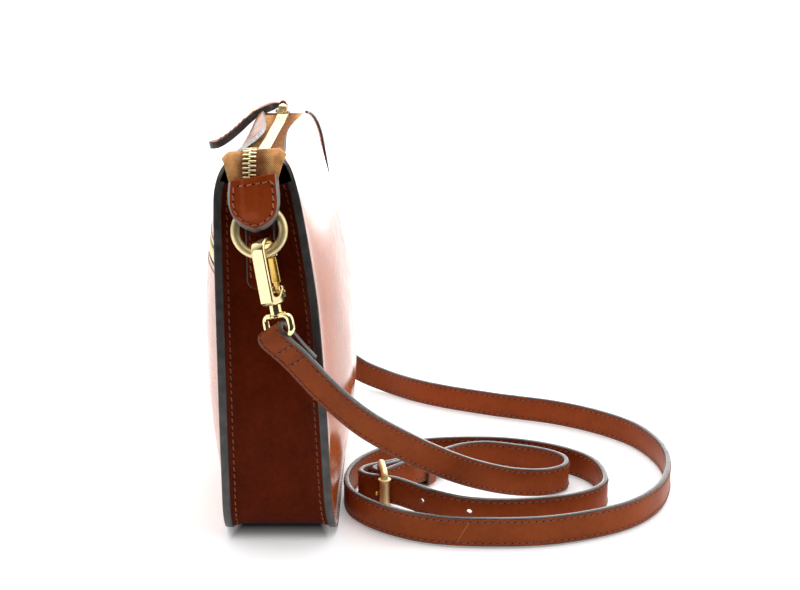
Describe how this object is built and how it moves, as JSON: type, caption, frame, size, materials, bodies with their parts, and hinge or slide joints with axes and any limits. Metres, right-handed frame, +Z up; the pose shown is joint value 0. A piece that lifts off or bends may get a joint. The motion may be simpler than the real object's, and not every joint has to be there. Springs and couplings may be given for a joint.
{
  "type": "crossbody bag",
  "caption": "Small upright leather crossbody bag with rounded corners, a zipped top, a zipped front pocket and a detachable buckled strap clipped to a ring at each end",
  "frame": {"origin": "on the floor under the middle of the bag's own box, without the strap and the fittings on it", "axes": "+X along the bag towards the end seen in the picture, -Y out of the front with the pocket zip, +Y out of the back, +Z up"},
  "size_m": [0.2736, 0.2609, 0.1966],
  "materials": {
    "panel_leather": "glossy cognac leather with dark painted edges",
    "gusset_leather": "glossy dark red-brown leather",
    "trim_leather": "glossy brown leather with grey painted edges",
    "strap_leather": "smooth brown leather with painted edges",
    "zip_tape": "tan woven tape",
    "zip_metal": "bright brass",
    "satin_brass": "satin brass",
    "polished_brass": "polished pale brass"
  },
  "bodies": {
    "bag": {"front_panel_lower": "panel_leather", "front_panel_upper": "panel_leather", "back_panel": "panel_leather", "gusset": "gusset_leather", "zip_tape_front": "zip_tape", "zip_tape_back": "zip_tape", "zip_teeth": "zip_metal", "zip_slider": "zip_metal", "pocket_zip_tape": "zip_tape", "pocket_zip_teeth": "zip_metal", "pocket_slider": "zip_metal", "zip_tab_near": "trim_leather", "zip_tab_far": "trim_leather", "ring_loop_near": "trim_leather", "ring_loop_far": "trim_leather", "ring_near": "satin_brass", "ring_far": "satin_brass", "hook_near": "polished_brass", "hook_far": "polished_brass", "swivel_near": "polished_brass", "swivel_far": "polished_brass", "strap_long": "strap_leather", "strap_short": "strap_leather", "buckle_frame": "polished_brass", "buckle_roller": "polished_brass", "buckle_prong": "polished_brass", "strap_keeper": "strap_leather"},
    "gate_near": {"gate_near": "polished_brass"},
    "gate_far": {"gate_far": "polished_brass"},
    "zip_pull": {"zip_pull": "trim_leather", "pull_rivet": "zip_metal"},
    "pocket_pull": {"pocket_pull": "trim_leather"}
  },
  "joints": [
    {"name": "gate_near_hinge", "type": "hinge", "parent": "bag", "child": "gate_near", "pos_m": [0.10473, 0.01182, 0.12864], "axis": [0.4136, 0.8816, 0.2275], "range_deg": [0, 25], "stiffness_Nm_per_rad": 0.02, "springref_deg": -14.32},
    {"name": "gate_far_hinge", "type": "hinge", "parent": "bag", "child": "gate_far", "pos_m": [-0.10392, 0.00666, 0.12784], "axis": [0.2665, -0.9552, -0.129], "range_deg": [0, 25], "stiffness_Nm_per_rad": 0.02, "springref_deg": -14.32},
    {"name": "zip_pull_hinge", "type": "hinge", "parent": "bag", "child": "zip_pull", "pos_m": [-0.101, -0.00005, 0.1919], "axis": [-1, 0, 0], "range_deg": [0, 150]},
    {"name": "pocket_pull_hinge", "type": "hinge", "parent": "bag", "child": "pocket_pull", "pos_m": [-0.08119, -0.02703, 0.141], "axis": [-0.9754, 0.2202, 0], "range_deg": [0, 150]}
  ]
}
